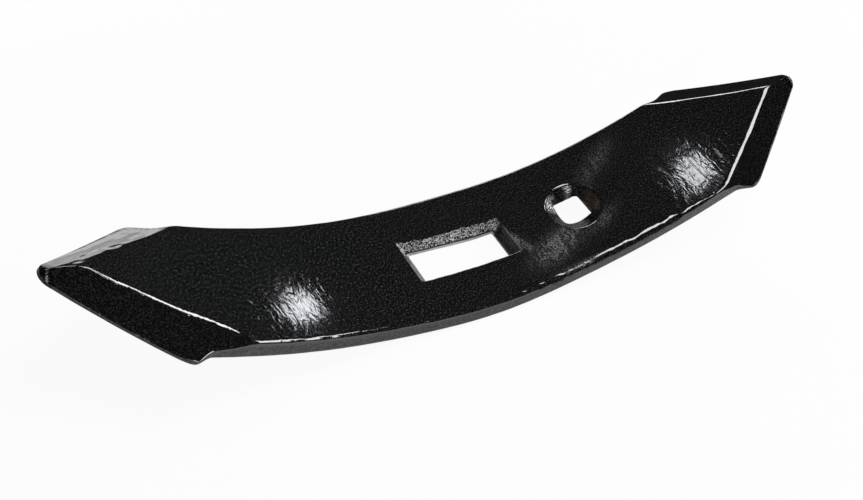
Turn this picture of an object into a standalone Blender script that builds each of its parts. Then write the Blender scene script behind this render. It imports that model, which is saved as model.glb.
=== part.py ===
"""Reversible cultivator point: one flat steel bar, pointed at both ends and bent hollow.

The blank lies along X with its face at z = 0 and its back at z = -THICKNESS. It is forged to its
outline, bevelled down to thin edges at both points, punched, and last bent so that the face is hollow.
Lengths along the bar are measured on the face, from the middle. The origin ends up at the lowest
place of the back, and near means the -Y side.
"""

import math

import bmesh
import bpy
import numpy as np

# Bar, in metres
WIDTH = 0.060
THICKNESS = 0.008
EDGE_RADIUS = 0.0022
FACE_RADIUS = 0.249
BEND_RELAXATION = 0.18

# Points: both ends share one outline, and TIP_AT is where its straight edges would meet
TIP_AT = 0.177
POINT_HALF_ANGLE = math.radians(35.1)
TIP_RADIUS = 0.0055
FLARE = 0.0034
FLARE_LENGTH = 0.0095
CORNER_BLEND = 0.0028

# Bevels: -1 is the front end, 1 the one with the hole. A crease's slope is width gained per length
APEX_SETBACK = {-1: 0.0170, 1: 0.0160}
RUN_OUT_SETBACK = {-1: 0.0191, 1: 0.0151}
CREASE_SLOPE = {(-1, -1): 0.48, (-1, 1): 0.63, (1, -1): 0.64, (1, 1): 0.64}
CREASE_RADIUS = 0.0022
RIDGE_SOFTNESS = 0.0012
RUN_OUT_GAIN = 1.6
EDGE_THICKNESS = 0.0013

# Slot, measured at the back: its walls slope, the front end most, and the bar swells beside it
SLOT_AT = 0.00275
SLOT_LENGTH = 0.0395
SLOT_WIDTH = 0.0200
SLOT_END_SLOPE = {-1: 0.0065, 1: 0.0020}
SLOT_SIDE_SLOPE = 0.0007
SLOT_CORNER = 0.0016
SLOT_BULGE = 0.0015
BULGE_LENGTH = 0.0345

# Bolt hole: a square that was punched a little off the countersink's middle
HOLE_FROM_SLOT = 0.05475
COUNTERSINK_RADIUS = 0.0125
COUNTERSINK_HALF_ANGLE = math.radians(53)
SQUARE_SIDE = 0.0135
SQUARE_OFFSET = (0.0006, 0.0019)
SQUARE_CORNER = 0.0016
TORN_DEPTH = 0.0015
TORN_WIDTH = 0.0012

# Facets and helpers
FACET_LENGTH = 0.006
TIP_FACETS = 5
LAST_TIP_ANGLE = math.radians(13)
EDGE_SEGMENTS = 4
CORNER_SEGMENTS = 3
COUNTERSINK_SEGMENTS = 48
CUTTER_REACH = 0.003

# Places that follow from the sizes
HALF_WIDTH = WIDTH / 2
HOLE_AT = SLOT_AT + HOLE_FROM_SLOT
CORNER_AT = TIP_AT - (HALF_WIDTH + FLARE) / math.tan(POINT_HALF_ANGLE)
FLARE_FROM = CORNER_AT - FLARE_LENGTH
APEX_AT = {end: TIP_AT - setback for end, setback in APEX_SETBACK.items()}
RUN_OUT_AT = {end: CORNER_AT - setback for end, setback in RUN_OUT_SETBACK.items()}
BEVEL_ZONE = min(RUN_OUT_AT.values()) - FACET_LENGTH
TIP_CENTRE = TIP_AT - TIP_RADIUS / math.sin(POINT_HALF_ANGLE)
TIP_TOUCH = TIP_CENTRE + TIP_RADIUS * math.sin(POINT_HALF_ANGLE)
BLANK_END = TIP_CENTRE + TIP_RADIUS * math.cos(LAST_TIP_ANGLE)


def clear_scene():
    for obj in list(bpy.data.objects):
        bpy.data.objects.remove(obj, do_unlink=True)


def new_collection(name):
    collection = bpy.data.collections.new(name)
    bpy.context.scene.collection.children.link(collection)
    return collection


def new_object(name, shape, collection):
    """Turns a bmesh into an object of the collection."""
    mesh = bpy.data.meshes.new(name)
    shape.to_mesh(mesh)
    shape.free()
    obj = bpy.data.objects.new(name, mesh)
    collection.objects.link(obj)
    return obj


def black_paint():
    material = bpy.data.materials.new("black_paint")
    material.use_nodes = True
    shader = material.node_tree.nodes["Principled BSDF"]
    shader.inputs["Base Color"].default_value = (0.010, 0.010, 0.011, 1)
    shader.inputs["Metallic"].default_value = 0
    shader.inputs["Roughness"].default_value = 0.32
    return material


def smooth_step(value):
    value = min(max(value, 0.0), 1.0)
    return value * value * (3 - 2 * value)


def smooth_min(a, b, blend):
    """The smaller of two values, with a round turn where they meet."""
    overlap = max(blend - abs(a - b), 0.0)
    return min(a, b) - overlap * overlap / (4 * blend)


def bar_half_width(along):
    """Half the bar's width: it swells beside the slot and flares at the corners of the points."""
    swell = SLOT_BULGE * math.exp(-(((along - SLOT_AT) / BULGE_LENGTH) ** 2))
    return HALF_WIDTH + swell + FLARE * smooth_step((abs(along) - FLARE_FROM) / FLARE_LENGTH)


def point_half_width(along):
    """Half the width between a point's two straight edges, with its round tip."""
    if along <= TIP_TOUCH:
        return (TIP_AT - along) * math.tan(POINT_HALF_ANGLE)
    return math.sqrt(max(TIP_RADIUS**2 - (along - TIP_CENTRE) ** 2, 0.0))


def half_width(along):
    return smooth_min(bar_half_width(along), point_half_width(abs(along)), CORNER_BLEND)


def crease_slope(end, across):
    """The crease's slope on this side of the middle line, blended where the two sides meet."""
    far_share = smooth_step(across / (2 * CREASE_RADIUS) + 0.5)
    near_slope = CREASE_SLOPE[end, -1]
    return near_slope + (CREASE_SLOPE[end, 1] - near_slope) * far_share


def bevel_depth(along, across):
    """How far a bevel lowers the face: nothing at its crease, all but the thin edge at the outline."""
    end = -1 if along < 0 else 1
    along = abs(along)
    angle = math.atan(crease_slope(end, across))
    from_middle = math.hypot(across, RIDGE_SOFTNESS)
    past_crease = from_middle * math.cos(angle) - (APEX_AT[end] - along) * math.sin(angle)
    past_run_out = (along - RUN_OUT_AT[end]) * RUN_OUT_GAIN
    past = smooth_min(past_crease, past_run_out, CREASE_RADIUS)
    if past <= -CREASE_RADIUS:
        return 0.0
    if past < CREASE_RADIUS:
        past = (past + CREASE_RADIUS) ** 2 / (4 * CREASE_RADIUS)
    to_edge = max(point_half_width(along) - abs(across), 0.0) * math.cos(POINT_HALF_ANGLE)
    return (THICKNESS - EDGE_THICKNESS) * past / (past + to_edge)


def slice_places():
    """Distances of the cross cuts from the middle: a facet spans the middle, and corners and tips are finer."""
    places = []
    place = FACET_LENGTH / 2
    while place < TIP_TOUCH - FACET_LENGTH / 2:
        places.append(place)
        near_corner = BEVEL_ZONE < place < CORNER_AT + FACET_LENGTH
        place += FACET_LENGTH / 3 if near_corner else FACET_LENGTH
    tip_angles = np.linspace(math.pi / 2 - POINT_HALF_ANGLE, LAST_TIP_ANGLE, TIP_FACETS)
    places.extend(TIP_CENTRE + TIP_RADIUS * math.cos(angle) for angle in tip_angles[:-1])
    return places


def cut_along_plane(shape, faces, point, normal):
    """Adds edges where a plane crosses these faces, and leaves the shape as it is."""
    edges = {edge for face in faces for edge in face.edges}
    verts = {vert for face in faces for vert in face.verts}
    parts = sorted(verts, key=lambda part: part.index) + sorted(edges, key=lambda part: part.index) + faces
    bmesh.ops.bisect_plane(shape, geom=parts, dist=1e-7, plane_co=point, plane_no=normal)
    for group in (shape.verts, shape.edges, shape.faces):
        group.index_update()


def slice_bar(shape, reach=BLANK_END):
    for place in slice_places():
        if place < reach:
            for side in (-1, 1):
                cut_along_plane(shape, shape.faces[:], (side * place, 0, 0), (1, 0, 0))


def bar_with_round_edges():
    """A straight bar as long as the blank, with its four long edges rounded."""
    shape = bmesh.new()
    bmesh.ops.create_cube(shape, size=1)
    bmesh.ops.scale(shape, verts=shape.verts, vec=(2 * BLANK_END, WIDTH, THICKNESS))
    bmesh.ops.translate(shape, verts=shape.verts, vec=(0, 0, -THICKNESS / 2))
    long_edges = [edge for edge in shape.edges if abs(edge.verts[0].co.x - edge.verts[1].co.x) > BLANK_END]
    bmesh.ops.bevel(
        shape,
        geom=long_edges,
        offset=EDGE_RADIUS,
        offset_type="OFFSET",
        segments=EDGE_SEGMENTS,
        profile=0.5,
        affect="EDGES",
    )
    return shape


def shape_outline(shape):
    for vert in shape.verts:
        vert.co.y *= half_width(vert.co.x) / HALF_WIDTH


def mark_creases(shape):
    """Cuts each bevel's face along its crease, once in the middle of the round and twice on each side."""
    cut_along_plane(shape, shape.faces[:], (0, 0, 0), (0, 1, 0))
    for (end, side), slope in CREASE_SLOPE.items():
        angle = math.atan(slope)
        normal = (end * math.sin(angle), side * math.cos(angle), 0)
        for step in (-1, -0.5, 0, 0.5, 1):
            apex = APEX_AT[end] + step * CREASE_RADIUS / math.sin(angle)
            corner = [
                face
                for face in shape.faces
                if end * face.calc_center_median().x > BEVEL_ZONE
                and side * face.calc_center_median().y > 0
            ]
            cut_along_plane(shape, corner, (end * apex, 0, 0), normal)


def forge_bevels(shape):
    """Presses the face down onto the bevels, and the round edges go down with it."""
    ends = [face for face in shape.faces if abs(face.calc_center_median().x) > BEVEL_ZONE]
    bmesh.ops.triangulate(shape, faces=ends, quad_method="SHORT_EDGE")
    for vert in shape.verts:
        left = 1 - bevel_depth(vert.co.x, vert.co.y) / THICKNESS
        vert.co.z = (vert.co.z + THICKNESS) * left - THICKNESS


def tapered_punch(face_box, back_box, corner_radius):
    """A four-sided punch through the bar: each box gives its low and high X and Y on the face or the back."""
    shape = bmesh.new()
    bmesh.ops.create_cube(shape, size=1)
    for vert in shape.verts:
        depth = -CUTTER_REACH if vert.co.z > 0 else THICKNESS + CUTTER_REACH
        share = depth / THICKNESS
        column = 0 if vert.co.x < 0 else 1
        row = 2 if vert.co.y < 0 else 3
        x = face_box[column] + (back_box[column] - face_box[column]) * share
        y = face_box[row] + (back_box[row] - face_box[row]) * share
        vert.co = (x, y, -depth)
    upright = [edge for edge in shape.edges if abs(edge.verts[0].co.z - edge.verts[1].co.z) > THICKNESS]
    bmesh.ops.bevel(
        shape,
        geom=upright,
        offset=corner_radius,
        offset_type="OFFSET",
        segments=CORNER_SEGMENTS,
        profile=0.5,
        affect="EDGES",
    )
    return shape


def slot_punch():
    low = SLOT_AT - SLOT_LENGTH / 2
    high = SLOT_AT + SLOT_LENGTH / 2
    side = SLOT_WIDTH / 2
    face_side = side + SLOT_SIDE_SLOPE
    face = (low - SLOT_END_SLOPE[-1], high + SLOT_END_SLOPE[1], -face_side, face_side)
    return tapered_punch(face, (low, high, -side, side), SLOT_CORNER)


def square_punch():
    """A square punch, widened near the back by the steel that tears away behind it."""
    half = SQUARE_SIDE / 2
    x = HOLE_AT + SQUARE_OFFSET[0]
    y = SQUARE_OFFSET[1]
    box = (x - half, x + half, y - half, y + half)
    shape = tapered_punch(box, box, SQUARE_CORNER)
    cut_along_plane(shape, shape.faces[:], (0, 0, TORN_DEPTH - THICKNESS), (0, 0, 1))
    widening = 1 + TORN_WIDTH / TORN_DEPTH * (TORN_DEPTH + CUTTER_REACH) / half
    for vert in shape.verts:
        if vert.co.z < -THICKNESS:
            vert.co.x = x + (vert.co.x - x) * widening
            vert.co.y = y + (vert.co.y - y) * widening
    return shape


def countersink():
    """A cone whose upper end stands above the face and whose lower end stays inside the square hole."""
    slope = math.tan(COUNTERSINK_HALF_ANGLE)
    floor_radius = SQUARE_SIDE / 4
    floor_depth = (COUNTERSINK_RADIUS - floor_radius) / slope
    shape = bmesh.new()
    bmesh.ops.create_cone(
        shape,
        cap_ends=True,
        segments=COUNTERSINK_SEGMENTS,
        radius1=floor_radius,
        radius2=COUNTERSINK_RADIUS + CUTTER_REACH * slope,
        depth=floor_depth + CUTTER_REACH,
    )
    middle = (CUTTER_REACH - floor_depth) / 2
    bmesh.ops.translate(shape, verts=shape.verts, vec=(HOLE_AT, 0, middle))
    return shape


def punch(blank, cutters):
    """Cuts the openings out of the blank and returns the result as a new bmesh."""
    for cutter in cutters:
        modifier = blank.modifiers.new(cutter.name, "BOOLEAN")
        modifier.operation = "DIFFERENCE"
        modifier.solver = "EXACT"
        modifier.object = cutter
    bpy.context.view_layer.update()
    graph = bpy.context.evaluated_depsgraph_get()
    mesh = bpy.data.meshes.new_from_object(blank.evaluated_get(graph))
    shape = bmesh.new()
    shape.from_mesh(mesh)
    bpy.data.meshes.remove(mesh)
    return shape


def centre_line():
    """Distance, angle, X and Z along the bent face, from the middle to past the tip."""
    along = np.linspace(0, TIP_AT, 800)
    relaxed = along - BEND_RELAXATION * along**3 / (3 * TIP_AT**2)
    angle = relaxed / FACE_RADIUS
    step = np.diff(along)
    x = np.concatenate([[0], np.cumsum((np.cos(angle[1:]) + np.cos(angle[:-1])) / 2 * step)])
    z = np.concatenate([[0], np.cumsum((np.sin(angle[1:]) + np.sin(angle[:-1])) / 2 * step)])
    return along, angle, x, z


def bend(shape):
    """Rolls the flat bar round the centre line and sets its lowest place at z = 0."""
    along, angle, x, z = centre_line()
    for vert in shape.verts:
        end = math.copysign(1, vert.co.x)
        place = abs(vert.co.x)
        depth = -vert.co.z
        turn = np.interp(place, along, angle)
        vert.co.x = end * (np.interp(place, along, x) + depth * math.sin(turn))
        vert.co.z = np.interp(place, along, z) - depth * math.cos(turn) + THICKNESS
    lowest = min(vert.co.z for vert in shape.verts)
    bmesh.ops.translate(shape, verts=shape.verts, vec=(0, 0, -lowest))


def cultivator_point(parts, cutters):
    shape = bar_with_round_edges()
    slice_bar(shape)
    shape_outline(shape)
    mark_creases(shape)
    forge_bevels(shape)
    blank = new_object("flat_blank", shape, cutters)
    punches = [
        new_object("slot_punch", slot_punch(), cutters),
        new_object("countersink", countersink(), cutters),
        new_object("square_punch", square_punch(), cutters),
    ]
    shape = punch(blank, punches)
    bpy.data.objects.remove(blank)
    slice_bar(shape, HOLE_AT + 2 * COUNTERSINK_RADIUS)
    bmesh.ops.triangulate(shape, faces=shape.faces[:], quad_method="SHORT_EDGE")
    bend(shape)
    point = new_object("cultivator_point", shape, parts)
    point.data.materials.append(black_paint())
    point.data.shade_smooth()
    point.data.set_sharp_from_angle(angle=math.radians(30))


def hide_cutters(cutters):
    for obj in cutters.objects:
        obj.hide_render = True
        obj.display_type = "WIRE"


def main():
    clear_scene()
    parts = new_collection("cultivator_point")
    cutters = new_collection("cutters")
    cultivator_point(parts, cutters)
    hide_cutters(cutters)


main()
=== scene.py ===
"""Cultivator point on a white table, seen from above its front left.

The bar is worked out flat, as the forge has it: along is measured on the face from the middle, across
from the middle line, and depth from the face down. It is bent last, round the same centre line as the
solid, so that every pattern can follow the steel.
"""

import math

import bmesh
import bpy
import numpy as np
from mathutils import Matrix, Quaternion, Vector


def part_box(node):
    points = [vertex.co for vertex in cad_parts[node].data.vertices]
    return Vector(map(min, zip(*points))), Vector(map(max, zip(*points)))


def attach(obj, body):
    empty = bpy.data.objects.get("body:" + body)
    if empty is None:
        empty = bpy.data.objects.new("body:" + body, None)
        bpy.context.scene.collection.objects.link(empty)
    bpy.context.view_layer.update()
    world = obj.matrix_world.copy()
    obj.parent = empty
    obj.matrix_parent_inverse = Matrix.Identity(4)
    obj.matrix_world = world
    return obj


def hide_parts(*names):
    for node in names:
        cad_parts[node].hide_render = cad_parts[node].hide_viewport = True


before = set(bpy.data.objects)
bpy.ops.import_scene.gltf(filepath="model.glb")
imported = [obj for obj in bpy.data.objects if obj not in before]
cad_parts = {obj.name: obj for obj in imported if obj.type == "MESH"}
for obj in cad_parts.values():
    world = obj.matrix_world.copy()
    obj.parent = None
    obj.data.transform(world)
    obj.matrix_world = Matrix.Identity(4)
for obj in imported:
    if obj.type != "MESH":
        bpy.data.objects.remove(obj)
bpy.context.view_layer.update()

# Bar, in metres, as the solid has it
THICKNESS = 0.008
HALF_WIDTH = 0.030
FACE_RADIUS = 0.249
BEND_RELAXATION = 0.18

# Points
TIP_AT = 0.177
POINT_HALF_ANGLE = math.radians(35.1)
TIP_RADIUS = 0.0055
FLARE = 0.0034
FLARE_LENGTH = 0.0095
CORNER_BLEND = 0.0028
CORNER_AT = TIP_AT - (HALF_WIDTH + FLARE) / math.tan(POINT_HALF_ANGLE)
TIP_CENTRE = TIP_AT - TIP_RADIUS / math.sin(POINT_HALF_ANGLE)
TIP_TOUCH = TIP_CENTRE + TIP_RADIUS * math.sin(POINT_HALF_ANGLE)

# Bevels: each pair is left and right, and CREASE_ holds near and far for each end
APEX_AT = (0.1600, 0.1610)
RUN_OUT_AT = (CORNER_AT - 0.0191, CORNER_AT - 0.0151)
NEAR_RUN_OUT = 0.0040
CREASE_SLOPE = ((0.48, 0.63), (0.64, 0.64))
CREASE_RADIUS = ((0.0018, 0.0009), (0.0014, 0.0013))
RADIUS_UNEVEN = 0.35
CREASE_UNEVEN = 0.00022
FOLD_FROM = 0.120
FOLD_LENGTH = 0.030
FOLD_SOFTNESS = 0.0026
FOLD_SHIFT = 0.0022
FOLD_UNEVEN = 0.0005
LIP = 0.00045
LIP_WIDTH = 0.0036
SLOPE_BLEND = 0.0044
RIDGE_SOFTNESS = 0.0003
RUN_OUT_GAIN = (0.8, 1.6)
RUN_OUT_RADIUS = (0.0060, 0.0022)
EDGE_THICKNESS = 0.0013
THIN_PAINT_AT = 0.1685

# Slot and bolt hole
SLOT_AT = 0.00275
SLOT_LENGTH = 0.0395
SLOT_WIDTH = 0.0200
SLOT_END_SLOPE = (0.0065, 0.0020)
SLOT_SIDE_SLOPE = 0.0007
SLOT_CORNER = 0.0010
SLOT_BULGE = 0.0015
BULGE_LENGTH = 0.0345
HOLE_AT = SLOT_AT + 0.05475
COUNTERSINK_RADIUS = 0.0125
COUNTERSINK_SLOPE = math.tan(math.radians(53))
SQUARE_SIDE = 0.0135
SQUARE_OFFSET = (0.0006, 0.0019)
SQUARE_CORNER = 0.0016
TORN_DEPTH = 0.0015
TORN_WIDTH = 0.0012
RIM = 0.0004
RIM_WIDTH = 0.0008

# How far the slot's outline on the face wanders, and how deep its wall is torn
SLOT_DRIFT = 0.0012
SLOT_BACK_DRIFT = 0.0014
SLOT_TEAR = 0.00021
SLOT_LAND = 0.00022
HOLE_TEAR = 0.00012

# Rounded long edges: the near one on the face grows from left to right, and the bevels' are small
NEAR_EDGE = (0.0012, 0.0028, 0.0014)
FAR_EDGE = 0.0010
BEVEL_EDGE = 0.15
BACK_EDGE = 0.0022
EDGE_UNEVEN = (0.28, 0.14)

# Heights and cell sizes of the swells, the ripples and the fine ripples in the steel
WAVES = (
    (0.00003, (0.028, 0.022, 1)),
    (0.000011, (0.0036, 0.0150, 1)),
    (0.0000035, (0.0021, 0.0070, 1)),
)
SIDE_WAVE = 0.00005

# Mesh
SLOT_BLOCK = (-0.0285, 0.0300, 0.0155)
HOLE_BLOCK = (0.0415, 0.0745, 0.0165)
FACE_COLUMNS = 104
BACK_COLUMNS = 28
EDGE_STEPS = 7
SIDE_STEPS = 5
LATTICE = 61
MERGE = 2e-7

# Dust: strength, place along and across, turn in degrees, length and width
DUST = (
    (1.2, (0.0400, -0.0150), 20, 0.0125, 0.0052),
    (0.45, (0.0645, -0.0128), 25, 0.0080, 0.0030),
    (1.0, (0.0262, -0.0062), -72, 0.0068, 0.0017),
    (0.4, (0.0785, 0.0150), 30, 0.0130, 0.0045),
    (0.9, (0.0440, -0.0287), 0, 0.0100, 0.0014),
)

# Punched walls of the slot: where its middle reach, its far wall and its right end begin
SLOT_REACH = 0.028
FAR_WALL_AT = 0.0062
RIGHT_END_AT = 0.0205

# Colours: each pair runs from the low to the high end of its pattern
BLACK = ((0.0005, 0.0005, 0.0006), (0.050, 0.050, 0.053))
DULL_BLACK = ((0.001, 0.001, 0.001), (0.08, 0.08, 0.08))
DRY_DUST = (0.15, 0.15, 0.155)
# Worn steel for the slot's land, and along its near and end rims a painted highlight
WORN_STEEL_AND_RIM_HIGHLIGHT = (0.60, 0.60, 0.605)
# Near-white flecks: bare steel, and partly painted glints off the torn walls and the cone
BROKEN_STEEL_AND_GLINTS = (0.88, 0.88, 0.90)
RUST = ((0.026, 0.020, 0.014), (0.19, 0.145, 0.10))
BEVEL_GRAIN = math.radians(33.5)
GLOSS_IOR = 1.8
MATT_IOR = 1.3

# Studio
SHEET = (0.5, -0.33, 0.27)
ROOM = 0.030
COOL = (0.94, 0.96, 1.0)
STRIP_AWAY = (0.33, 0.94, 0.0)


def smooth_step(value):
    value = np.clip(value, 0, 1)
    return value * value * (3 - 2 * value)


def smooth_min(a, b, blend):
    """The smaller of two values, less a parabola of the given blend where they are nearly equal."""
    overlap = np.maximum(blend - np.abs(a - b), 0)
    return np.minimum(a, b) - overlap * overlap / (4 * blend)


def smooth_max(a, b, blend):
    return -smooth_min(-a, -b, blend)


def rumple(places, steps, seed):
    """Smooth random heights from -1 to 1: the eight random corners of a lattice cell of the given steps
    are blended by the fifth-degree ease of the place in the cell."""
    lattice = np.random.default_rng(seed).uniform(-1, 1, (LATTICE, LATTICE, LATTICE))
    scaled = np.asarray(places) / np.asarray(steps)
    cell = np.floor(scaled).astype(int)
    share = scaled - cell
    share = share**3 * (share * (share * 6 - 15) + 10)
    total = 0
    for i in (0, 1):
        for j in (0, 1):
            for k in (0, 1):
                corner = (cell + (i, j, k)) % LATTICE
                weight = np.abs(np.array([1 - i, 1 - j, 1 - k]) - share).prod(-1)
                total = total + weight * lattice[corner[..., 0], corner[..., 1], corner[..., 2]]
    return total


def flat_places(along, across, depth=0.0):
    return np.stack(np.broadcast_arrays(along, across, depth), -1)


def by_end(right, pair):
    """The second of two values at the bar's right end, and the first at its left."""
    return np.where(right, pair[1], pair[0])


def point_width(reach):
    """The point's half width: straight edges, and past their touch with it the arc of the round tip."""
    straight = (TIP_AT - reach) * math.tan(POINT_HALF_ANGLE)
    round_tip = np.sqrt(np.maximum(TIP_RADIUS**2 - (reach - TIP_CENTRE) ** 2, 0))
    return np.where(reach <= TIP_TOUCH, straight, round_tip)


def half_width(along):
    """The bar's half width with a bell-shaped swell beside the slot and a flare at the corners, or the
    point's half width where that is less, with a round turn between them."""
    reach = np.abs(along)
    swell = SLOT_BULGE * np.exp(-(((along - SLOT_AT) / BULGE_LENGTH) ** 2))
    flare = FLARE * smooth_step((reach - CORNER_AT + FLARE_LENGTH) / FLARE_LENGTH)
    return smooth_min(HALF_WIDTH + swell + flare, point_width(reach), CORNER_BLEND)


def bevel_depth(along, across):
    """Distance past the crease over distance past it plus distance to the edge, times the most depth.
    A crease is a straight line from the apex, a little uneven, with the depth begun as a parabola of
    the crease's radius, and it runs out where the bar's corner begins, by a smooth minimum. The far-left
    one is a soft, streaky fold moved out from its line, and the bevel past it has a lip at its rim: a
    parabola of the distance to the edge, taken off the depth."""
    reach = np.abs(along)
    right = along > 0
    apex = by_end(right, APEX_AT)
    far_share = smooth_step(across / SLOPE_BLEND + 0.5)
    near_slope, far_slope = (by_end(right, pair) for pair in zip(*CREASE_SLOPE))
    angle = np.arctan(near_slope + (far_slope - near_slope) * far_share)
    near_radius, far_radius = (by_end(right, pair) for pair in zip(*CREASE_RADIUS))
    radius = near_radius + (far_radius - near_radius) * far_share
    fold = np.where(right, 0, far_share * smooth_step((reach - FOLD_FROM) / FOLD_LENGTH))
    radius = radius + FOLD_SOFTNESS * fold
    radius = radius * (1 + RADIUS_UNEVEN * rumple(flat_places(along, across), (0.006, 0.006, 1), 7))
    beyond = np.hypot(across, RIDGE_SOFTNESS) * np.cos(angle) - (apex - reach) * np.sin(angle)
    beside = np.abs(across) * np.sin(angle) + (apex - reach) * np.cos(angle)
    past = beyond + CREASE_UNEVEN * rumple(flat_places(along, across), (0.011, 0.011, 1), 3)
    ragged = FOLD_UNEVEN * rumple(flat_places(beside, beyond), (0.0075, 0.0016, 1), 5)
    past = past + fold * (ragged - FOLD_SHIFT)
    crisp = np.where(right, 1, far_share)
    run_out = by_end(right, RUN_OUT_AT) - NEAR_RUN_OUT * (1 - crisp)
    gain, run_out_radius = (soft + (hard - soft) * crisp for soft, hard in (RUN_OUT_GAIN, RUN_OUT_RADIUS))
    past = smooth_min(past, (reach - run_out) * gain, run_out_radius)
    past = np.where(past < radius, np.maximum(past + radius, 0) ** 2 / (4 * radius), past)
    to_edge = np.maximum(point_width(reach) - np.abs(across), 0) * math.cos(POINT_HALF_ANGLE)
    lip = LIP * fold * np.maximum(1 - to_edge / LIP_WIDTH, 0) ** 2 * smooth_step(past / 0.003)
    return (THICKNESS - EDGE_THICKNESS) * past / np.maximum(past + to_edge, 1e-9) - lip


def waves(along, across, seed):
    """Unevenness of rolled and forged steel: the sum of long swells, and of two sizes of shorter ripples
    that lie across the bar, each a rumple times its height."""
    places = flat_places(along, across)
    return sum(height * rumple(places, size, seed + number) for number, (height, size) in enumerate(WAVES))


def face_depth(along, across):
    """The bevels and the waves, and the countersink's cone with a narrow round rim."""
    radius = np.hypot(along - HOLE_AT, across)
    cone = (COUNTERSINK_RADIUS - radius) / COUNTERSINK_SLOPE
    calm_and_bevel_shade = smooth_step((radius - COUNTERSINK_RADIUS + 0.002) / 0.004)
    return bevel_depth(along, across) + waves(along, across, 11) * calm_and_bevel_shade + smooth_max(cone, 0.0, 0.00035)


def stations():
    """Places along one half of the outline: coarse in the plain stretch, fine round the openings and over
    the bevels, and at equal angles round the tip."""
    edges = (0, 0.076, 0.104, TIP_TOUCH)
    steps = (0.0008, 0.0012, 0.0006)
    places = [np.arange(low, high - step / 2, step) for low, high, step in zip(edges, edges[1:], steps)]
    turn = np.linspace(math.pi / 2 - POINT_HALF_ANGLE, 0, 15)
    along = np.concatenate([*places, TIP_CENTRE + TIP_RADIUS * np.cos(turn)])
    return np.concatenate([-along[::-1], along[1:]])


def outline():
    """The far side of the outline from tip to tip, and the direction that points out of it there."""
    along = stations()
    across = half_width(along)
    across[[0, -1]] = 0
    tangent = np.stack([np.gradient(along), np.gradient(across)], 1)
    tangent[0] = (0, 1)
    tangent[-1] = (0, -1)
    tangent /= np.linalg.norm(tangent, axis=1)[:, None]
    return along, across, np.stack([-tangent[:, 1], tangent[:, 0]], 1)


def crease_columns(along, across, side):
    """Shares from 0 to 1 between the middle line and the edge, crowded round the crease: the running sum
    of 1 plus a bell at the crease, turned round so that equal steps of the sum give the shares."""
    shares = np.linspace(0, 1, FACE_COLUMNS // 2 + 1)
    fine = np.linspace(0, 1, 301)
    columns = np.empty((len(along), len(shares)))
    for row, (place, width) in enumerate(zip(along, across)):
        end = int(place > 0)
        room = max(width, 0.001)
        crease = np.clip((APEX_AT[end] - abs(place)) * CREASE_SLOPE[end][side] / room, 0, 1)
        zone = smooth_step((abs(place) - RUN_OUT_AT[end] + 0.008) / 0.012)
        density = 1 + 3.0 * zone * np.exp(-(((fine - crease) * room / 0.0022) ** 2))
        total = np.concatenate([[0], np.cumsum((density[1:] + density[:-1]) / 2)])
        columns[row] = np.interp(shares, total / total[-1], fine)
    return columns


def edge_radius(along, side, seed):
    """The rounding of a face edge. The near one grows to the right, shrinks again at the right end and
    is uneven, most at the right; the far one is small and nearly even; along the bevels both are thin."""
    if side > 0:
        radius = np.full(len(along), FAR_EDGE)
    else:
        radius = NEAR_EDGE[0] + (NEAR_EDGE[1] - NEAR_EDGE[0]) * smooth_step((along + 0.01) / 0.05)
        radius = radius + (NEAR_EDGE[2] - NEAR_EDGE[1]) * smooth_step((along - 0.085) / 0.030)
    radius = radius * (1 + (BEVEL_EDGE - 1) * smooth_step((np.abs(along) - CORNER_AT + 0.002) / 0.006))
    places = flat_places(along, side * HALF_WIDTH)
    uneven = EDGE_UNEVEN[0] * rumple(places, (0.0050, 1, 1), seed)
    uneven = uneven + EDGE_UNEVEN[1] * rumple(places, (0.0021, 1, 1), seed + 1)
    if side > 0:
        return radius * (1 + 0.3 * uneven)
    return radius * (1 + uneven * (1 + 0.9 * smooth_step((along - 0.078) / 0.012)))


def bar_grid():
    """Rings round the bar, one for each station. A ring crosses the face, turns down the far side, comes
    back under the bar and turns up the near side. Each point is a place on the outline moved inwards
    along its normal, and the flat parts are straight lines between two such points."""
    along, across, out = outline()
    turn = np.linspace(0, math.pi / 2, EDGE_STEPS + 1)
    radius = {side: edge_radius(along, side, 40 + side) for side in (-1, 1)}

    def inner(side, inset):
        return np.stack([along - inset * out[:, 0], side * (across - inset * out[:, 1])], -1)

    columns = []
    levels = []
    shares = {side: crease_columns(along, across, (side + 1) // 2) for side in (-1, 1)}
    middle = (inner(-1, radius[-1]) + inner(1, radius[1])) / 2
    for side, order in ((-1, slice(None, 0, -1)), (1, slice(None, None, 1))):
        for share in shares[side][:, order].T:
            columns.append(middle + (inner(side, radius[side]) - middle) * share[:, None])
            levels.append(np.zeros(len(along)))

    def corner(side, angle, size, top):
        columns.append(inner(side, size * (1 - math.sin(angle))))
        drop = size * (1 - math.cos(angle))
        levels.append(-drop if top else drop - THICKNESS)

    def flank(side, share):
        columns.append(inner(side, 0.0))
        levels.append(-(radius[side] + (THICKNESS - BACK_EDGE - radius[side]) * share))

    back_edge = np.full(len(along), BACK_EDGE)
    for angle in turn[1:]:
        corner(1, angle, radius[1], True)
    for share in np.linspace(0, 1, SIDE_STEPS + 1)[1:-1]:
        flank(1, share)
    for angle in turn[::-1][:-1]:
        corner(1, angle, back_edge, False)
    for share in np.linspace(1, -1, BACK_COLUMNS + 1):
        columns.append(inner(1, back_edge) * (1, share))
        levels.append(np.full(len(along), -THICKNESS))
    for angle in turn[1:]:
        corner(-1, angle, back_edge, False)
    for share in np.linspace(1, 0, SIDE_STEPS + 1)[1:-1]:
        flank(-1, share)
    for angle in turn[::-1][:-1]:
        corner(-1, angle, radius[-1], True)
    places = np.stack(columns, 1)
    return places[..., 0], places[..., 1], np.stack(levels, 1)


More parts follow.
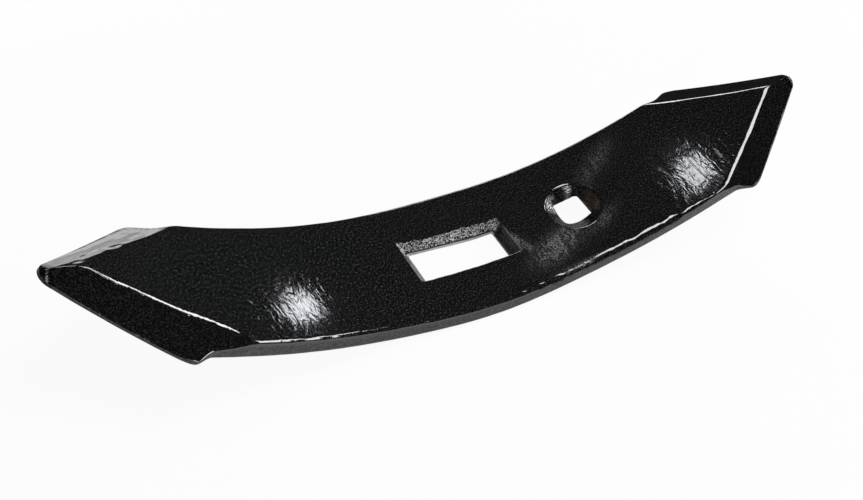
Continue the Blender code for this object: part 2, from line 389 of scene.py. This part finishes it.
def press(along, across, level):
    """Lowers the face onto the bevels and lays the waves on it; the sides and the back follow in
    proportion to their level. The result is a depth below the flat face."""
    height = 1 + level / THICKNESS
    bevel = 1 - bevel_depth(along, across) / THICKNESS
    side = SIDE_WAVE * rumple(flat_places(along, across, level), (0.004, 1, 0.003), 21)
    back = waves(along, across, 31) + side
    depth = THICKNESS * (1 - height * bevel) + height * waves(along, across, 11)
    return depth + (1 - height) * back * (height > 0)


def perimeter(grid_index, rows, columns):
    """Vertex numbers round a block of the grid, and a measure that is 0, 1, 2 and 3 at its corners."""
    low, high = rows
    near, far = columns
    sides = (
        grid_index[low:high, near],
        grid_index[high, near:far] if far > near else grid_index[high, near:far:-1],
        grid_index[high:low:-1, far],
        grid_index[low, far:near:-1] if far > near else grid_index[low, far:near],
    )
    measure = [number + np.arange(len(side)) / len(side) for number, side in enumerate(sides)]
    return np.concatenate(sides), np.concatenate(measure)


def box_outline(measure, half_length, half_side, corner):
    """A rounded rectangle at the given measures round it: each side runs from the middle of one round
    corner to the middle of the next, at even speed."""
    arc = np.linspace(math.pi / 4, 0, 9)
    points = np.empty((len(measure), 2))
    for number in range(4):
        length, depth = (half_length, half_side) if number % 2 == 0 else (half_side, half_length)
        left_x = -length + corner - corner * np.sin(arc)
        left = np.stack([left_x, -depth + corner - corner * np.cos(arc)], 1)
        side = np.concatenate([left, left[::-1] * (-1, 1)])
        run = np.concatenate([[0], np.cumsum(np.linalg.norm(np.diff(side, axis=0), axis=1))])
        here = (measure >= number) & (measure < number + 1)
        spot = (measure[here] - number) * run[-1]
        x, y = np.interp(spot, run, side[:, 0]), np.interp(spot, run, side[:, 1])
        turns = {0: (x, y), 1: (-y, x), 2: (-x, -y), 3: (y, -x)}
        points[here] = np.stack(turns[number], 1)
    return points


def outward(loop):
    """Unit normals of a closed counter-clockwise loop, pointing out of it."""
    tangent = np.roll(loop, -1, 0) - np.roll(loop, 1, 0)
    normal = np.stack([tangent[:, 1], -tangent[:, 0]], 1)
    return normal / np.linalg.norm(normal, axis=1)[:, None]


def slot_loops(outer, measure):
    """Loops from the block's edge over the slot's rim and down its wall. The wall runs straight from the
    outline on the face to the one on the back, torn by a rumple down to the smooth land at its foot."""
    half_face = (SLOT_LENGTH + sum(SLOT_END_SLOPE)) / 2
    face = box_outline(measure, half_face, SLOT_WIDTH / 2 + SLOT_SIDE_SLOPE, SLOT_CORNER)
    face[:, 0] += SLOT_AT + (SLOT_END_SLOPE[1] - SLOT_END_SLOPE[0]) / 2
    back = box_outline(measure, SLOT_LENGTH / 2, SLOT_WIDTH / 2, SLOT_CORNER)
    back[:, 0] += SLOT_AT
    drift = smooth_step(back[:, 1] / 0.008) * smooth_step((back[:, 0] + 0.012) / 0.030)
    back[:, 1] -= SLOT_BACK_DRIFT * drift
    normal = outward(face)
    far = smooth_step((face[:, 1] - 0.004) / 0.006)
    left = smooth_step((-face[:, 0] - 0.008) / 0.016)
    ragged = rumple(flat_places(face[:, 0], face[:, 1]), (0.0032, 0.0032, 1), 51)
    ragged = ragged + 0.5 * rumple(flat_places(face[:, 0], face[:, 1]), (0.0013, 0.0013, 1), 52)
    face = face + normal * ((0.00012 + 0.0002 * far) * ragged)[:, None]
    face[:, 1] += far * SLOT_DRIFT * (left**2 - (1 - left) * smooth_step(face[:, 0] / 0.022))
    loops = []
    for share in (0.3, 0.6, 0.85):
        place = outer + (face + normal * RIM - outer) * share
        loops.append((place, face_depth(place[:, 0], place[:, 1]), 0.0))
    for share in np.linspace(0, 1, 7):
        place = face + normal * (RIM * (1 - share) ** 2)
        wear = 0.02 * (share > 0) + 0.98 * smooth_step((share - 0.4) / 0.6)
        loops.append((place, face_depth(place[:, 0], place[:, 1]) + RIM * share**2, wear))
    for share in np.linspace(0, 1, 22)[1:]:
        place = face + (back - face) * share
        depth = RIM + (THICKNESS - 2 * RIM) * share
        rough = smooth_step(share / 0.08) * smooth_step((0.74 - share) / 0.06)
        places = flat_places(place[:, 0], place[:, 1], depth)
        grain = rumple(places, 0.0011, 53) + 0.7 * rumple(places, 0.0006, 54)
        land = SLOT_LAND * smooth_step((share - 0.7) / 0.05)
        place = place + normal * (SLOT_TEAR * rough * grain - land)[:, None]
        loops.append((place, depth, 0.25 + 0.75 * rough))
    return loops, back


def hole_loops(outer, measure):
    """Loops from the block's edge into the countersink, over the edge of the square and down its wall,
    which widens towards the back. The points start on rays from the countersink's middle."""
    middle = np.array([HOLE_AT, 0.0])
    angle = np.arctan2(outer[:, 1], outer[:, 0] - HOLE_AT)
    ray = np.stack([np.cos(angle), np.sin(angle)], 1)
    half_side = SQUARE_SIDE / 2
    dense = box_outline(np.arange(0, 4, 0.004), half_side, half_side, SQUARE_CORNER) + SQUARE_OFFSET
    dense_angle = np.arctan2(dense[:, 1], dense[:, 0])
    order = np.argsort(dense_angle)
    length = np.interp(angle, dense_angle[order], np.hypot(*dense[order].T), period=2 * math.pi)
    square = ray * length[:, None] + middle
    normal = outward(square)
    circle = middle + ray * COUNTERSINK_RADIUS
    loops = []
    for share in (0.4, 0.75):
        place = outer + (circle + ray * RIM_WIDTH - outer) * share
        loops.append((place, face_depth(place[:, 0], place[:, 1]), 0.0))
    for offset in np.linspace(RIM_WIDTH, -0.0006, 10):
        place = circle + ray * offset
        loops.append((place, face_depth(place[:, 0], place[:, 1]), 0.3 * smooth_step(-offset / 0.0006)))
    edge = square + normal * RIM
    start = circle - ray * 0.0006
    for share in np.linspace(0, 1, 13)[1:]:
        place = start + (edge - start) * share
        places = flat_places(place[:, 0], place[:, 1])
        grain = rumple(places, (0.0011, 0.0011, 1), 61) + 0.6 * rumple(places, (0.0006, 0.0006, 1), 62)
        loops.append((place, face_depth(place[:, 0], place[:, 1]) + 0.00006 * grain, 0.6))
    top = face_depth(square[:, 0], square[:, 1])
    for share in np.linspace(0, 1, 5)[1:]:
        place = square + normal * (RIM * (1 - share) ** 2)
        loops.append((place, face_depth(place[:, 0], place[:, 1]) + RIM * share**2, 0.4))
    bottom = THICKNESS - RIM
    for share in np.linspace(0, 1, 15)[1:]:
        depth = top + RIM + (bottom - top - RIM) * share
        torn = np.maximum(depth - THICKNESS + TORN_DEPTH, 0) / TORN_DEPTH
        places = flat_places(square[:, 0], square[:, 1], depth)
        grain = rumple(places, 0.0012, 63) + 0.6 * rumple(places, 0.0006, 64)
        offset = TORN_WIDTH * torn + (0.00003 + HOLE_TEAR * smooth_step(torn * 3)) * grain
        loops.append((square + normal * offset[:, None], depth, 0.3 + 0.5 * smooth_step(torn * 3)))
    return loops, square + normal * TORN_WIDTH


def zip_loops(inner, inner_measure, outer, outer_measure):
    """Triangles between two loops with different numbers of points: both are walked at once by their
    measure, and each step on one of them closes a triangle with the point reached on the other."""
    steps = np.concatenate([np.append(inner_measure[1:], 4), np.append(outer_measure[1:], 4)])
    from_inner = np.arange(len(steps)) < len(inner)
    order = np.argsort(steps, kind="stable")
    from_inner = from_inner[order]
    i = np.cumsum(from_inner) - from_inner
    j = np.cumsum(~from_inner) - ~from_inner
    a, b = inner[i % len(inner)], outer[j % len(outer)]
    inner_next, outer_next = inner[(i + 1) % len(inner)], outer[(j + 1) % len(outer)]
    third = np.where(from_inner, inner_next, outer_next)
    return np.stack([a, third, b], 1)


def centre_line():
    """The face's line after bending: its angle is the distance over the radius, less a cubic that makes
    it straighter towards the tips, and X and Z are the running sums of its cosine and sine."""
    along = np.linspace(0, TIP_AT, 3000)
    angle = (along - BEND_RELAXATION * along**3 / (3 * TIP_AT**2)) / FACE_RADIUS
    step = np.diff(along)
    x = np.concatenate([[0], np.cumsum((np.cos(angle[1:]) + np.cos(angle[:-1])) / 2 * step)])
    z = np.concatenate([[0], np.cumsum((np.sin(angle[1:]) + np.sin(angle[:-1])) / 2 * step)])
    return along, angle, x, z


def bend(flat):
    """Each flat place goes to its point on the centre line, less its depth along the normal there."""
    along, angle, x, z = centre_line()
    reach = np.abs(flat[:, 0])
    end = np.sign(flat[:, 0])
    depth = flat[:, 2]
    turn = np.interp(reach, along, angle)
    bent_x = end * (np.interp(reach, along, x) + depth * np.sin(turn))
    bent_z = np.interp(reach, along, z) - depth * np.cos(turn)
    return np.stack([bent_x, flat[:, 1], bent_z], 1)


def into_box(points, box):
    """Stretches the points by a hair so that they fill the node's box exactly."""
    low, high = points.min(0), points.max(0)
    box_low, box_high = np.array(box[0]), np.array(box[1])
    return box_low + (points - low) * (box_high - box_low) / (high - low)


def point_mesh():
    """The whole surface: the rings with two blocks left out of face and back, and for each opening the
    loops that join the two blocks through the bar. With each point go two shares: sheared, 1 on the
    cut sides, and torn, up to 1 on the punched walls and 0.3 where the paint is thin at the tips."""
    along, across, level = bar_grid()
    depth = press(along, across, level)
    rows, columns = along.shape
    index = np.arange(rows * columns).reshape(rows, columns)
    middle = rows // 2
    face_middle = FACE_COLUMNS // 2
    back_start = FACE_COLUMNS + 2 * EDGE_STEPS + SIDE_STEPS
    flat = [np.stack([along, across, depth], -1).reshape(-1, 3)]
    thin = smooth_step((np.abs(along) - CORNER_AT + 0.004) / 0.004)
    below_face = -level - 0.0016 * (1 - thin)
    above_back = THICKNESS + level - 0.0012 * (1 - thin)
    side_band = smooth_step(below_face / (0.0005 - 0.0004 * thin))
    side_band = side_band * smooth_step(above_back / (0.0008 - 0.0006 * thin))
    side_band = side_band * (np.abs(across) > 0.9 * half_width(along))
    sheared = [side_band.reshape(-1)]
    torn = [0.3 * smooth_step((np.abs(along) - THIN_PAINT_AT) / 0.0015).reshape(-1)]
    keep = np.ones((rows - 1, columns), bool)
    faces = []
    count = rows * columns
    for (low, high, reach), shape in ((SLOT_BLOCK, slot_loops), (HOLE_BLOCK, hole_loops)):
        row_low, row_high = (int(np.argmin(np.abs(along[:, face_middle] - place))) for place in (low, high))
        steps = round(reach / (across[middle, face_middle + 1] - across[middle, face_middle]))
        near, far = face_middle - steps, face_middle + steps
        keep[row_low:row_high, near:far] = False
        loop, measure = perimeter(index, (row_low, row_high), (near, far))
        back_steps = round(reach / (HALF_WIDTH * 2 / BACK_COLUMNS))
        back_middle = back_start + BACK_COLUMNS // 2
        back_far, back_near = back_middle - back_steps, back_middle + back_steps
        keep[row_low:row_high, back_far:back_near] = False
        back_loop, back_measure = perimeter(index, (row_low, row_high), (back_near, back_far))
        outer = flat[0][loop, :2]
        loops, back = shape(outer, measure)
        back_places = flat[0][back_loop]
        round_places = np.concatenate([back_places, back_places[:1]])[:, :2].T
        edge = np.stack([np.interp(measure, np.append(back_measure, 4), axis) for axis in round_places], 1)
        normal = outward(back)
        for share in np.linspace(0, 1, 4)[1:]:
            place = back + normal * RIM * share**2
            loops.append((place, THICKNESS - RIM * (1 - share) ** 2, 0.3 * (1 - share)))
        start = back + normal * RIM
        for share in (0.3, 0.62, 0.9):
            place = start + (edge - start) * share
            loops.append((place, THICKNESS, 0.0))
        size = len(loop)
        numbers = [loop]
        for place, loop_depth, wear in loops:
            flat.append(flat_places(place[:, 0], place[:, 1], loop_depth))
            sheared.append(np.zeros(size))
            torn.append(np.broadcast_to(wear, size))
            numbers.append(np.arange(count, count + size))
            count += size
        numbers = np.stack(numbers)
        a, b = numbers[:-1], numbers[1:]
        quads = np.stack([a, np.roll(a, -1, 1), np.roll(b, -1, 1), b], -1)
        faces.append(quads.reshape(-1, 4))
        faces.append(zip_loops(numbers[-1], measure, back_loop, back_measure))
    a, b = index[:-1], index[1:]
    quads = np.stack([a, b, np.roll(b, -1, 1), np.roll(a, -1, 1)], -1)
    faces.append(quads[keep])
    return np.concatenate(flat), faces, np.concatenate(sheared), np.concatenate(torn)


def dust_amount(along, across):
    """Dry spatter, a sum of turned bell-shaped blots: a fan on the near left of the hole, a faint skirt
    on its near right, a patch beside the slot, a faint streak past the hole and a line at the near edge."""
    total = 0
    for strength, at, degrees, length, width in DUST:
        angle = math.radians(degrees)
        x, y = along - at[0], across - at[1]
        u = x * math.cos(angle) + y * math.sin(angle)
        v = y * math.cos(angle) - x * math.sin(angle)
        total = total + strength * np.exp(-((u / length) ** 2) - (v / width) ** 2)
    return np.clip(total, 0, 1)


def rust_amount(along, across):
    """A brown patch on the right of the cone."""
    turn = np.arctan2(across, along - HOLE_AT)
    radius = np.hypot(along - HOLE_AT, across)
    return np.exp(-(((turn + 0.12) / 0.50) ** 2)) * smooth_step((0.0121 - radius) / 0.0012)


def bare_and_glint_amount(along, across, depth):
    """Where punching left bright broken steel, whose near-white flecks are bare steel and partly painted
    glints: most of the slot's far wall, a trace at the top of its right end, and two patches on the cone,
    bells of the angle round it."""
    in_slot = (np.abs(along - SLOT_AT) < SLOT_REACH) * (depth > 0.0002)
    far_wall = smooth_step((across - FAR_WALL_AT) / 0.0015) * smooth_step((0.0058 - depth) / 0.0005)
    right_end = smooth_step((along - RIGHT_END_AT) / 0.0015) * smooth_step((0.0032 - depth) / 0.0015)
    turn = np.arctan2(across, along - HOLE_AT)
    radius = np.hypot(along - HOLE_AT, across)
    left = np.exp(-(((turn - 2.55) / 0.24) ** 2))
    top = np.exp(-(((turn - 1.25) / 0.13) ** 2)) * smooth_step((radius - 0.0072) / 0.0006)
    cone = (left + top) * smooth_step((0.0120 - radius) / 0.0006) * (depth > 0.0002) * (radius < 0.013)
    return in_slot * np.maximum(far_wall, 0.12 * right_end) + cone


def land_and_rim_highlight_amount(along, across, depth):
    """The smooth light strip at the foot of the slot's far wall and right end, and a fainter one along its
    near and end rims, which is a painted highlight."""
    in_slot = np.abs(along - SLOT_AT) < SLOT_REACH
    foot = smooth_step((depth - 0.0062) / 0.0003) * smooth_step((across - FAR_WALL_AT) / 0.0015)
    right_foot = smooth_step((depth - 0.0070) / 0.0003) * smooth_step((along - RIGHT_END_AT) / 0.0015)
    # A painted highlight: a faint light line along the slot's near and end rims
    rim = smooth_step((0.0005 - depth) / 0.0002) * smooth_step((0.006 - across) / 0.004) * (depth > 0)
    return in_slot * (depth < 0.0079) * np.maximum(np.maximum(foot, right_foot), 0.3 * rim)


def number_attribute(mesh, name, values):
    mesh.attributes.new(name, "FLOAT", "POINT").data.foreach_set("value", values.astype(np.float32))


def make_point():
    flat, face_sets, sheared, torn = point_mesh()
    points = into_box(bend(flat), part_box("cultivator_point"))
    mesh = bpy.data.meshes.new("cultivator_point_fine")
    mesh.from_pydata(points.tolist(), [], [face for group in face_sets for face in group.tolist()])
    number_attribute(mesh, "sheared", sheared)
    number_attribute(mesh, "torn", torn)
    number_attribute(mesh, "dust", dust_amount(flat[:, 0], flat[:, 1]) * (flat[:, 2] < 0.0006))
    number_attribute(mesh, "rust", rust_amount(flat[:, 0], flat[:, 1]) * (flat[:, 2] < 0.0075))
    on_wall = (torn > 0) * (np.abs(flat[:, 1]) < 0.02)
    # Bare steel on the punched walls and cone, partly painted glints
    number_attribute(mesh, "bare_and_glints", bare_and_glint_amount(*flat.T) * on_wall)
    # Land: the smooth foot of the slot's walls, and a painted highlight along its near and end rims
    number_attribute(mesh, "land", land_and_rim_highlight_amount(*flat.T) * on_wall)
    number_attribute(mesh, "forged", smooth_step(bevel_depth(flat[:, 0], flat[:, 1]) / 0.0006))
    place = mesh.attributes.new("flat", "FLOAT_VECTOR", "POINT")
    place.data.foreach_set("vector", flat.astype(np.float32).ravel())
    piece = bpy.data.objects.new("cultivator_point_fine", mesh)
    bpy.context.scene.collection.objects.link(piece)
    merge_seams(mesh)
    mesh.shade_smooth()
    return piece


def merge_seams(mesh):
    """Joins the points that fall together at the two tips and drops the faces that this closes up."""
    shape = bmesh.new()
    shape.from_mesh(mesh)
    bmesh.ops.remove_doubles(shape, verts=shape.verts, dist=MERGE)
    bmesh.ops.dissolve_degenerate(shape, edges=shape.edges, dist=MERGE / 20)
    shape.to_mesh(mesh)
    shape.free()


class Signal:
    """One output of a shader node. Sums and products of signals and numbers add their Math nodes."""

    def __init__(self, tree, socket=None):
        self.tree = tree
        self.socket = socket

    def make(self, kind, settings, sockets, output=0):
        """Adds a node of a kind, sets its properties, then fills its sockets by name or number."""
        node = self.tree.nodes.new(kind)
        for name, value in settings.items():
            setattr(node, name, value)
        for name, value in sockets.items():
            if isinstance(value, Signal):
                self.tree.links.new(value.socket, node.inputs[name])
            else:
                node.inputs[name].default_value = value
        return Signal(self.tree, node.outputs[output] if len(node.outputs) else None)

    def math(self, operation, *values):
        return self.make("ShaderNodeMath", {"operation": operation}, dict(enumerate(values)))

    def __add__(self, other):
        return self.math("ADD", self, other)

    def __sub__(self, other):
        return self.math("SUBTRACT", self, other)

    def __rsub__(self, other):
        return self.math("SUBTRACT", other, self)

    def __mul__(self, other):
        return self.math("MULTIPLY", self, other)

    __radd__ = __add__
    __rmul__ = __mul__

    def ramp(self, low, high, to_low=0.0, to_high=1.0):
        """A straight ramp from to_low at low to to_high at high, held beyond them."""
        sockets = {"Value": self, "From Min": low, "From Max": high, "To Min": to_low, "To Max": to_high}
        return self.make("ShaderNodeMapRange", {"clamp": True}, sockets)

    def blend(self, a, b):
        """Colour a where this signal is 0, and b where it is 1."""
        node = self.make("ShaderNodeMix", {"data_type": "RGBA"}, {0: self}, 2)
        mix = node.socket.node
        for number, value in ((6, a), (7, b)):
            if isinstance(value, Signal):
                self.tree.links.new(value.socket, mix.inputs[number])
            else:
                mix.inputs[number].default_value = (*value, 1)
        return node


def new_material(name):
    material = bpy.data.materials.new(name)
    material.use_nodes = True
    tree = material.node_tree
    tree.nodes.clear()
    return material, Signal(tree)


def finish_material(start, shader):
    start.make("ShaderNodeOutputMaterial", {}, {"Surface": shader})


def gloss_black_paint():
    """Gloss black paint over forged steel: wrinkled across the bar on the face, drawn in streaks along the
    bevels, flecked with fine grain all over, the flecks dimmed on the bevels as painted shade, lumpy on the
    punched walls with near-white flecks of bare steel that are partly painted glints, worn steel at the
    foot of the slot's walls and a painted highlight along its near and end rims, and dusty round the
    openings.
    Where it is thin, on the sheared sides, the torn walls and the tips, a coat that mirrors less is mixed
    in."""
    material, start = new_material("gloss_black_paint")

    def attribute(name, output="Fac"):
        return start.make("ShaderNodeAttribute", {"attribute_name": name}, {}, output)

    flat = attribute("flat", "Vector")
    sheared = attribute("sheared")
    torn = attribute("torn")
    dust = attribute("dust")
    rust = attribute("rust")
    bare_and_glints = attribute("bare_and_glints")
    land = attribute("land")
    forged = attribute("forged")

    def noise(scale, detail, roughness, length=(1, 1, 1), distortion=0.0, turn=0.0):
        """Noise whose cells are length times as long along each axis, after a turn of the axes."""
        sockets = {"Vector": flat, "Rotation": (0, 0, turn), "Scale": length}
        place = start.make("ShaderNodeMapping", {"vector_type": "TEXTURE"}, sockets)
        sockets = {"Vector": place, "Scale": scale, "Detail": detail}
        sockets.update({"Roughness": roughness, "Distortion": distortion})
        return start.make("ShaderNodeTexNoise", {}, sockets)

    wrinkle = noise(430, 2.0, 0.55, (1, 2.5, 1), 1.0)
    streak = noise(450, 2.0, 0.5, (7, 1, 1), 0.3, BEVEL_GRAIN)
    grain = noise(1900, 2.0, 0.7, (1, 1.33, 1))
    speck = noise(1250, 3.0, 0.75)
    feather = noise(420, 3.0, 0.6, (1, 2.5, 1), 1.0)
    chip = noise(1600, 2.0, 0.6)
    lump = noise(1100, 3.0, 0.65)
    patchy = noise(160, 4.0, 0.6)

    dusty = dust * speck.ramp(0.44, 0.60, 0.0, 1.5) * feather.ramp(0.36, 0.56, 0.25, 1.2)
    dusty = start.math("MINIMUM", dusty, 1.0)
    # Calmer wrinkles and grain on the forged bevels; in the colour the flecks are dimmed there as painted
    # shade
    calm_and_bevel_shade = 1 - 0.45 * forged
    fleck = grain.ramp(0.50, 0.66) * calm_and_bevel_shade
    black = fleck.blend(*BLACK)
    dull = sheared.blend(black, speck.ramp(0.45, 0.62).blend(*DULL_BLACK))
    dry = dusty.blend(dull, DRY_DUST)
    # Worn steel at the slot's foot, and a painted highlight along its near and end rims
    worn = land.blend(dry, WORN_STEEL_AND_RIM_HIGHLIGHT)
    # Near-white broken steel flecks: bare steel, and partly painted glints
    steel = (bare_and_glints * chip.ramp(0.50, 0.53)).blend(worn, BROKEN_STEEL_AND_GLINTS)
    brown = patchy.ramp(0.3, 0.65).blend(*RUST)
    colour = (rust * lump.ramp(0.35, 0.6)).blend(steel, brown)

    rough = 0.04 + 0.04 * patchy + 0.3 * sheared + 0.4 * dusty + 0.3 * rust + 0.05 * torn
    lumps = 0.0004 * bare_and_glints + 0.00016 * torn + 0.00005 * dust + 0.00018 * sheared
    height = 0.000038 * (calm_and_bevel_shade * wrinkle) + 0.00007 * (forged * streak)
    height = height + 0.0000012 * (calm_and_bevel_shade * grain) + lumps * lump
    bump = start.make("ShaderNodeBump", {}, {"Strength": 1.0, "Distance": 1.0, "Height": height})
    sockets = {"Base Color": colour, "Roughness": rough, "Normal": bump}
    gloss = start.make("ShaderNodeBsdfPrincipled", {}, {**sockets, "IOR": GLOSS_IOR})
    matt = start.make("ShaderNodeBsdfPrincipled", {}, {**sockets, "IOR": MATT_IOR})
    thinned = start.math("MAXIMUM", torn.ramp(0.02, 0.3), 0.5 * sheared)
    shader = start.make("ShaderNodeMixShader", {}, {0: thinned, 1: gloss, 2: matt})
    finish_material(start, shader)
    return material


def seen(start):
    """Two signals: 1 on the camera's own rays, and 1 on rays that a gloss mirrors or glass lets through."""
    path = start.make("ShaderNodeLightPath", {}, {}, "Is Camera Ray")
    node = path.socket.node
    gloss = Signal(start.tree, node.outputs["Is Glossy Ray"])
    clear = Signal(start.tree, node.outputs["Is Transmission Ray"])
    return path, start.math("MAXIMUM", gloss, clear)


def white_table():
    """White paint that shines where it is seen. To the camera it is nearly all plain white, with a small
    part of the lamps' light and the bar's shadow on it, and none near the sheet's border. A gloss sees it
    white beside the bar, and in its true shade close to the bar and under it."""
    material, start = new_material("white_table")
    camera, mirrored = seen(start)
    place = start.make("ShaderNodeTexCoord", {}, {}, "Object")
    across = start.make("ShaderNodeSeparateXYZ", {}, {"Vector": place}, "Y")
    open_floor = start.math("ABSOLUTE", across).ramp(0.036, 0.060)
    spread = start.make("ShaderNodeMapping", {}, {"Vector": place, "Scale": (1, 1.6, 1)})
    reach = start.make("ShaderNodeVectorMath", {"operation": "LENGTH"}, {0: spread}, "Value")
    share = start.math("MAXIMUM", camera, mirrored * open_floor) * reach.ramp(0.26, 0.42, 0.94, 1.0)
    paint = start.make("ShaderNodeBsdfDiffuse", {}, {"Color": (0.86, 0.86, 0.86, 1)})
    glow = start.make("ShaderNodeEmission", {}, {"Color": (1, 1, 1, 1), "Strength": 1.0})
    shader = start.make("ShaderNodeMixShader", {}, {0: share, 1: paint, 2: glow})
    finish_material(start, shader)
    return material


def make_table():
    """A flat sheet that ends a little beyond the bar, so that the paint mirrors the dark room past it."""
    side, near, far = SHEET
    mesh = bpy.data.meshes.new("table")
    corners = [(-side, near, 0), (side, near, 0), (side, far, 0), (-side, far, 0)]
    mesh.from_pydata(corners, [], [(0, 1, 2, 3)])
    table = bpy.data.objects.new("table", mesh)
    bpy.context.scene.collection.objects.link(table)
    mesh.materials.append(white_table())


def softbox(name, azimuth, elevation, distance, size, radiance, tint=(1, 1, 1), roll=0.0):
    """A lamp in a direction from the middle of the bar: azimuth from +X towards +Y, facing the bar, and
    turned round its own axis by roll."""
    a, e = math.radians(azimuth), math.radians(elevation)
    away = Vector((math.cos(a) * math.cos(e), math.sin(a) * math.cos(e), math.sin(e)))
    data = bpy.data.lights.new(name, "AREA")
    data.shape = "RECTANGLE"
    data.size, data.size_y = size
    data.energy = radiance * math.pi * size[0] * size[1]
    data.color = tint
    lamp = bpy.data.objects.new(name, data)
    lamp.location = away * distance
    lamp.rotation_mode = "QUATERNION"
    lamp.rotation_quaternion = away.to_track_quat("Z", "Y") @ Quaternion((0, 0, 1), math.radians(roll))
    lamp.visible_camera = False
    bpy.context.scene.collection.objects.link(lamp)
    return lamp


def make_lamps():
    """Two small cool lamps are mirrored as the bright patches on the face, the one at the right in the
    left patch. The boxes and strips are mirrored in the creases and rounded edges, key lights the dust
    and the sides, and strip_floor stands low beside the far-left bevel, for its gloss alone."""
    softbox("lamp_right", 40.6, 26.7, 1.2, (0.046, 0.050), 9, COOL)
    softbox("lamp_back", 82.7, 63.3, 1.2, (0.055, 0.036), 9, COOL)
    softbox("lamp_low", 23.0, 37.5, 1.2, (0.16, 0.16), 11)
    softbox("strip_front", -14.5, 32.0, 1.2, (1.0, 0.24), 9, roll=20)
    softbox("box_top", -38.0, 79.5, 1.2, (0.50, 0.44), 9)
    softbox("lamp_far", 65.5, 29.0, 1.2, (0.34, 0.20), 9)
    softbox("key", -130.0, 22.0, 1.3, (0.9, 0.7), 1.3)
    strip = softbox("strip_floor", 119.2, 4.0, 0.197, (0.17, 0.012), 0.9)
    strip.rotation_quaternion = Vector(STRIP_AWAY).to_track_quat("Z", "Y")
    strip.visible_diffuse = False


def make_world():
    """White for the camera and, well below the horizon, for a gloss; for all else a dim grey room."""
    world = bpy.data.worlds.new("room")
    bpy.context.scene.world = world
    world.use_nodes = True
    tree = world.node_tree
    tree.nodes.clear()
    start = Signal(tree)
    camera, mirrored = seen(start)
    direction = start.make("ShaderNodeTexCoord", {}, {}, "Generated")
    height = start.make("ShaderNodeSeparateXYZ", {}, {"Vector": direction}, "Z")
    share = start.math("MAXIMUM", camera, mirrored * height.ramp(-0.20, -0.12, 1.0, 0.0))
    room = start.make("ShaderNodeBackground", {}, {"Color": (1, 1, 1, 1), "Strength": ROOM})
    white = start.make("ShaderNodeBackground", {}, {"Color": (1, 1, 1, 1), "Strength": 1.0})
    shader = start.make("ShaderNodeMixShader", {}, {0: share, 1: room, 2: white})
    start.make("ShaderNodeOutputWorld", {}, {"Surface": shader})


def make_camera():
    """The photograph's camera. Its axes are written as right, up and back."""
    data = bpy.data.cameras.new("camera")
    data.sensor_width = 36
    data.lens = 46.296
    data.shift_x = -0.02981
    data.shift_y = 0.01318
    data.clip_start = 0.01
    data.clip_end = 30
    camera = bpy.data.objects.new("camera", data)
    right = Vector((0.845988, -0.502257, 0.179006))
    up = Vector((0.261355, 0.683226, 0.681832))
    back = Vector((-0.464756, -0.530038, 0.709268))
    place = Matrix((right, up, back)).transposed().to_4x4()
    place.translation = (-0.213535, -0.244432, 0.327808)
    camera.matrix_world = place
    bpy.context.scene.collection.objects.link(camera)
    bpy.context.scene.camera = camera


make_camera()
point = make_point()
point.data.materials.append(gloss_black_paint())
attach(point, "root")
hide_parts("cultivator_point")
make_table()
make_lamps()
make_world()
bpy.context.scene.view_settings.view_transform = "Standard"
